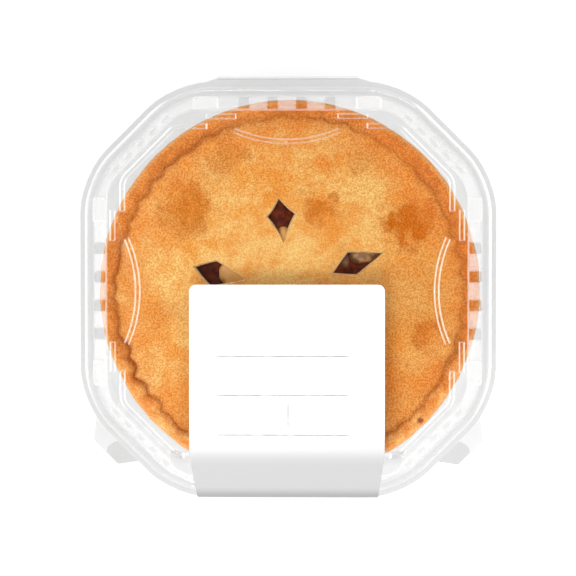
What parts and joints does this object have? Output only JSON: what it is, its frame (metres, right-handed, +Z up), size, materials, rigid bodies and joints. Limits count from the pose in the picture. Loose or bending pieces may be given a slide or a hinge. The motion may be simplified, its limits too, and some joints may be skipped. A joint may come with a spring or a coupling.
{
  "type": "packed apple pie",
  "caption": "Round double-crust fruit pie with steam slits, in a foil tin, shut in a clear octagonal clamshell pack whose hinged lid swings open, with a paper label folded over the front.",
  "frame": {"origin": "middle of the bounding box at the foot of the tray", "axes": "+X to the right of the pack seen from its front, +Y towards the hinge at the back, +Z up"},
  "size_m": [0.224, 0.2258, 0.0585],
  "materials": {
    "clear_pet": "clear thermoformed sheet, glossy on both faces",
    "foil": "thin pressed foil, satin",
    "filling": "dark glossy spiced syrup with pale fruit pieces",
    "crust": "baked shortcrust, golden and finely speckled, browner in patches and along the rim",
    "label_paper": "smooth white coated paper with thin grey ruled lines"
  },
  "bodies": {
    "base": {"tray": "clear_pet", "tin": "foil", "filling": "filling", "crust": "crust"},
    "cover": {"lid": "clear_pet", "label": "label_paper"}
  },
  "joints": [
    {"name": "lid_hinge", "type": "hinge", "parent": "base", "child": "cover", "pos_m": [0, 0.11315, 0.03085], "axis": [-1, 0, 0], "range_deg": [0, 180]}
  ]
}
